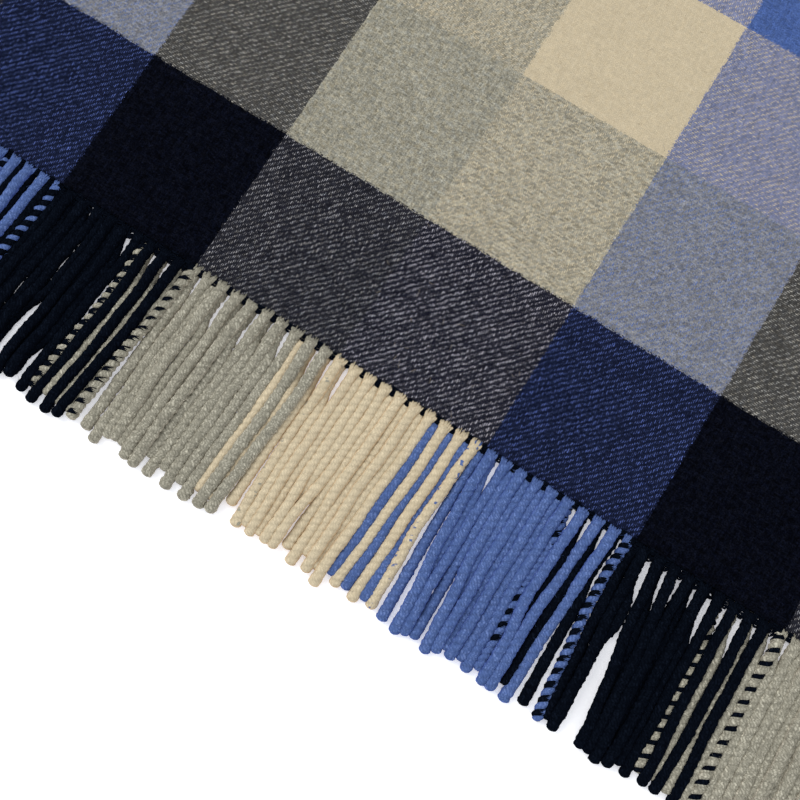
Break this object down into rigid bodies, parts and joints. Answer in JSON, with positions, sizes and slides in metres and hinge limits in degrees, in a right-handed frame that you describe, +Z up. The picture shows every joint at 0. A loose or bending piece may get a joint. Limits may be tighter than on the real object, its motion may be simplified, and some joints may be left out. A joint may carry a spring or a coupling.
{
  "type": "folded wool blanket",
  "caption": "Thick twill-woven wool blanket folded once and laid flat with its ends together, each finished with a row of twisted tassels; a cover for a bed, sofa or lap.",
  "frame": {"origin": "middle of the bounding box in plan, on the flat underside", "axes": "+X along the fringed edge, +Y along the warp from the fringe to the fold, +Z up from the surface the blanket lies on"},
  "size_m": [0.705, 0.9094, 0.0105],
  "materials": {
    "check_wool": "milled wool in a two-up two-down twill, black, grey, cream and blue block check",
    "plied_wool": "two-ply twisted wool in the four warp colours, lightly fuzzy"
  },
  "bodies": {
    "root": {"cloth": "check_wool", "fringe_upper": "plied_wool", "fringe_lower": "plied_wool"}
  },
  "joints": []
}
